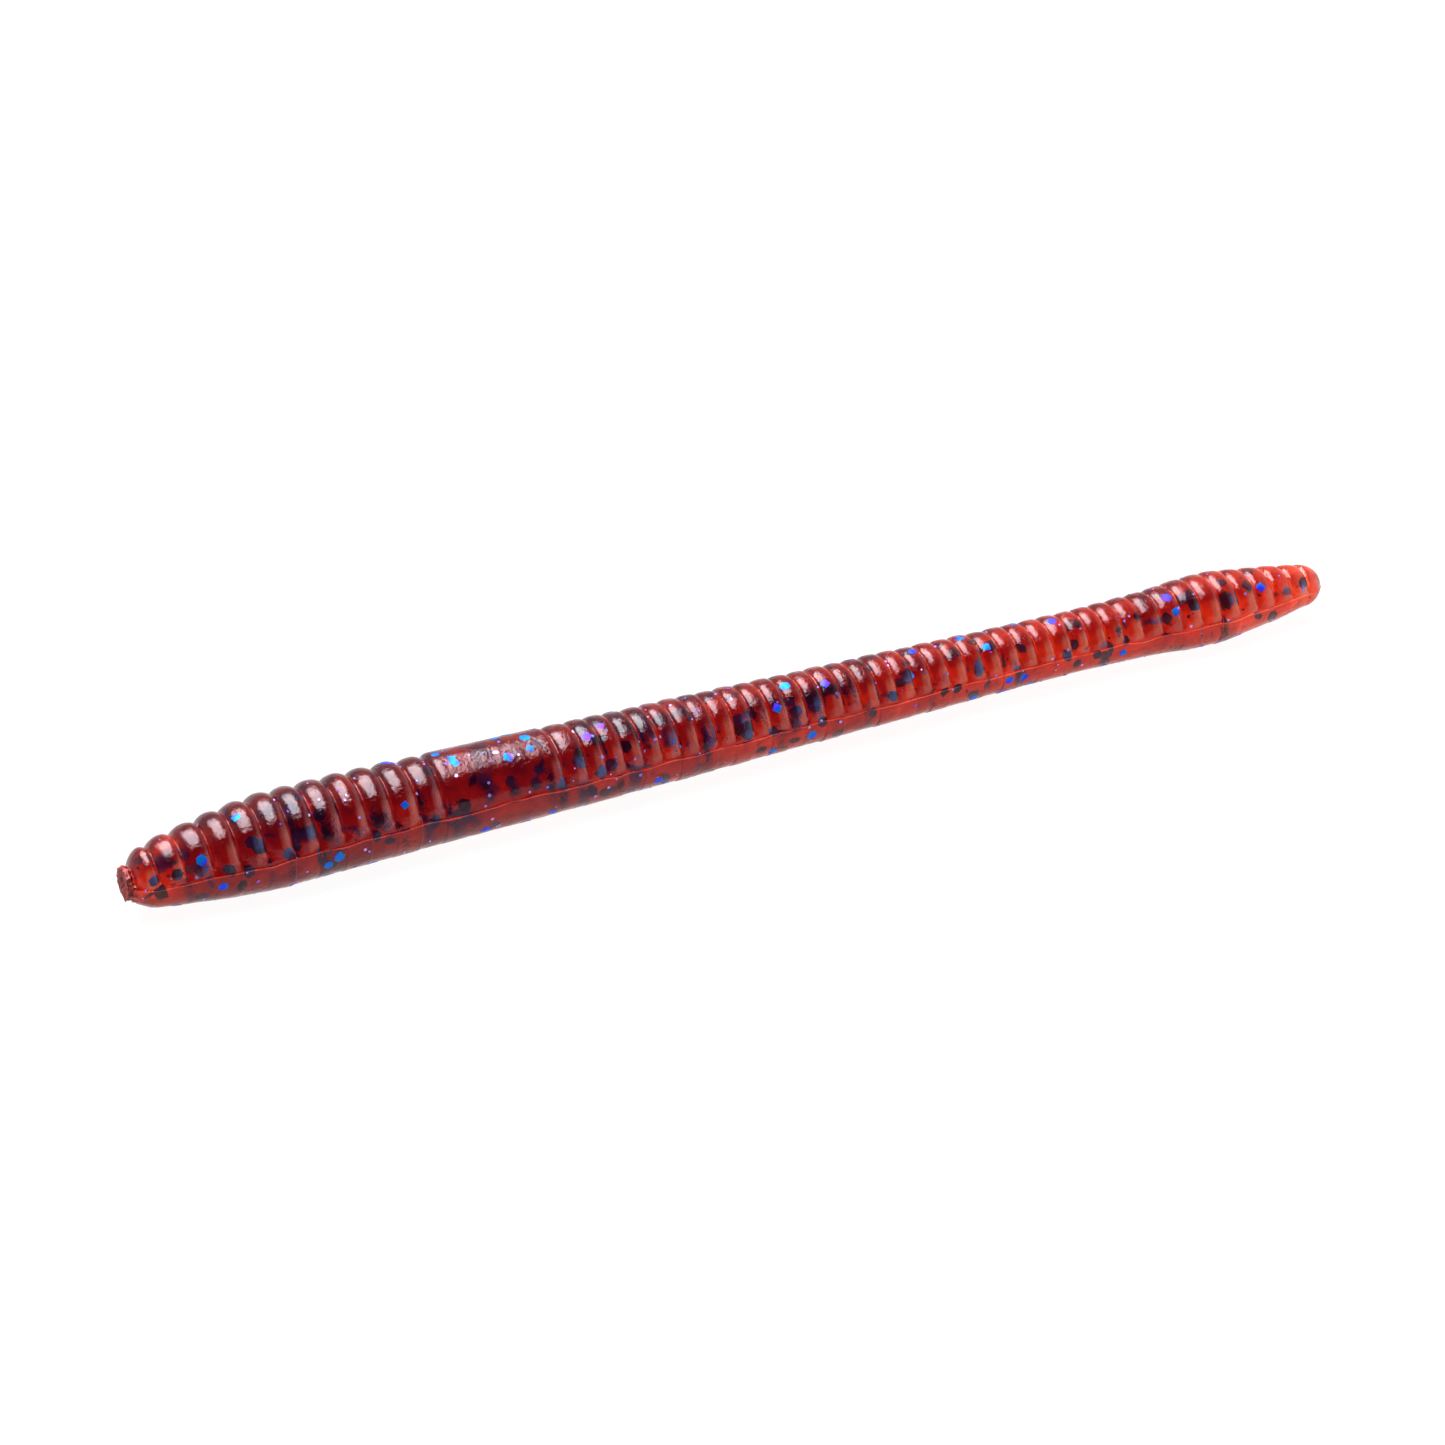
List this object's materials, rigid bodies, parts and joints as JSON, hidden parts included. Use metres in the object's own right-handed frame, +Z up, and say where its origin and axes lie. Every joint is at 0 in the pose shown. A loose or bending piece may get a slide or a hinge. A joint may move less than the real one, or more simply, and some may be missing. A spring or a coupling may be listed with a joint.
{
  "type": "soft plastic worm",
  "caption": "Straight ribbed soft plastic worm with a smooth collar, a slight bulge before the tail tip and glitter flakes inside. It bends along its length.",
  "frame": {"origin": "on the floor under the middle of the worm", "axes": "+X along the worm from nose to tail tip, +Z up through the ribbed back"},
  "size_m": [0.1013, 0.0074, 0.0071],
  "materials": {
    "plastisol": "gloss",
    "large_flakes": "gloss",
    "small_flakes": "gloss"
  },
  "bodies": {
    "nose": {"nose_ribs": "plastisol", "gate_stub": "plastisol", "large_flakes_nose_ribs": "large_flakes", "small_flakes_nose_ribs": "small_flakes", "flex_rib_01": "plastisol"},
    "mid_head": {"mid_head_ribs": "plastisol", "large_flakes_mid_head_ribs": "large_flakes", "small_flakes_mid_head_ribs": "small_flakes", "flex_rib_02": "plastisol"},
    "collar": {"rear_head_ribs": "plastisol", "collar": "plastisol", "large_flakes_collar": "large_flakes", "small_flakes_collar": "small_flakes"},
    "body_1": {"body_ribs_1": "plastisol", "large_flakes_body_ribs_1": "large_flakes", "small_flakes_body_ribs_1": "small_flakes", "flex_rib_03": "plastisol"},
    "body_2": {"body_ribs_2": "plastisol", "large_flakes_body_ribs_2": "large_flakes", "small_flakes_body_ribs_2": "small_flakes", "flex_rib_04": "plastisol"},
    "body_3": {"body_ribs_3": "plastisol", "large_flakes_body_ribs_3": "large_flakes", "small_flakes_body_ribs_3": "small_flakes", "flex_rib_05": "plastisol"},
    "body_4": {"body_ribs_4": "plastisol", "large_flakes_body_ribs_4": "large_flakes", "small_flakes_body_ribs_4": "small_flakes", "flex_rib_06": "plastisol"},
    "body_5": {"body_ribs_5": "plastisol", "large_flakes_body_ribs_5": "large_flakes", "small_flakes_body_ribs_5": "small_flakes", "flex_rib_07": "plastisol"},
    "body_6": {"body_ribs_6": "plastisol", "large_flakes_body_ribs_6": "large_flakes", "small_flakes_body_ribs_6": "small_flakes", "flex_rib_08": "plastisol"},
    "body_7": {"body_ribs_7": "plastisol", "large_flakes_body_ribs_7": "large_flakes", "small_flakes_body_ribs_7": "small_flakes", "flex_rib_09": "plastisol"},
    "body_8": {"body_ribs_8": "plastisol", "large_flakes_body_ribs_8": "large_flakes", "small_flakes_body_ribs_8": "small_flakes", "flex_rib_10": "plastisol"},
    "tail": {"tail_ribs": "plastisol", "large_flakes_tail_ribs": "large_flakes", "small_flakes_tail_ribs": "small_flakes", "flex_rib_11": "plastisol"},
    "tip": {"tail_tip": "plastisol", "large_flakes_tail_tip": "large_flakes", "small_flakes_tail_tip": "small_flakes", "flex_rib_12": "plastisol"}
  },
  "joints": [
    {"name": "head_bend_1", "type": "hinge", "parent": "mid_head", "child": "nose", "pos_m": [-0.04138, 0, 0.00351], "axis": [0, 0, -1], "range_deg": [-20, 20], "stiffness_Nm_per_rad": 0.00392, "deforming": ["flex_rib_01"]},
    {"name": "head_bend_2", "type": "hinge", "parent": "collar", "child": "mid_head", "pos_m": [-0.03329, 0, 0.00343], "axis": [0, 0, -1], "range_deg": [-20, 20], "stiffness_Nm_per_rad": 0.00494, "deforming": ["flex_rib_02"]},
    {"name": "body_bend_1", "type": "hinge", "parent": "collar", "child": "body_1", "pos_m": [-0.01553, 0, 0.00325], "axis": [0, 0, 1], "range_deg": [-20, 20], "stiffness_Nm_per_rad": 0.00342, "deforming": ["flex_rib_03"]},
    {"name": "body_bend_2", "type": "hinge", "parent": "body_1", "child": "body_2", "pos_m": [-0.00917, 0, 0.00319], "axis": [0, 0, 1], "range_deg": [-20, 20], "stiffness_Nm_per_rad": 0.00296, "deforming": ["flex_rib_04"]},
    {"name": "body_bend_3", "type": "hinge", "parent": "body_2", "child": "body_3", "pos_m": [-0.00299, 0, 0.00312], "axis": [0, 0, 1], "range_deg": [-20, 20], "stiffness_Nm_per_rad": 0.00255, "deforming": ["flex_rib_05"]},
    {"name": "body_bend_4", "type": "hinge", "parent": "body_3", "child": "body_4", "pos_m": [0.00319, 0, 0.00306], "axis": [0, 0, 1], "range_deg": [-20, 20], "stiffness_Nm_per_rad": 0.00219, "deforming": ["flex_rib_06"]},
    {"name": "body_bend_5", "type": "hinge", "parent": "body_4", "child": "body_5", "pos_m": [0.00937, 0, 0.003], "axis": [0, 0, 1], "range_deg": [-20, 20], "stiffness_Nm_per_rad": 0.00187, "deforming": ["flex_rib_07"]},
    {"name": "body_bend_6", "type": "hinge", "parent": "body_5", "child": "body_6", "pos_m": [0.01555, 0, 0.00294], "axis": [0, 0, 1], "range_deg": [-20, 20], "stiffness_Nm_per_rad": 0.00158, "deforming": ["flex_rib_08"]},
    {"name": "body_bend_7", "type": "hinge", "parent": "body_6", "child": "body_7", "pos_m": [0.02173, 0, 0.00288], "axis": [0, 0, 1], "range_deg": [-20, 20], "stiffness_Nm_per_rad": 0.00133, "deforming": ["flex_rib_09"]},
    {"name": "body_bend_8", "type": "hinge", "parent": "body_7", "child": "body_8", "pos_m": [0.02791, 0, 0.00281], "axis": [0, 0, 1], "range_deg": [-20, 20], "stiffness_Nm_per_rad": 0.00119, "deforming": ["flex_rib_10"]},
    {"name": "tail_bend_1", "type": "hinge", "parent": "body_8", "child": "tail", "pos_m": [0.03435, 0, 0.00275], "axis": [0, 0, 1], "range_deg": [-20, 20], "stiffness_Nm_per_rad": 0.00156, "deforming": ["flex_rib_11"]},
    {"name": "tail_bend_2", "type": "hinge", "parent": "tail", "child": "tip", "pos_m": [0.04121, 0, 0.00268], "axis": [0, 0, 1], "range_deg": [-20, 20], "stiffness_Nm_per_rad": 0.00176, "deforming": ["flex_rib_12"]}
  ]
}
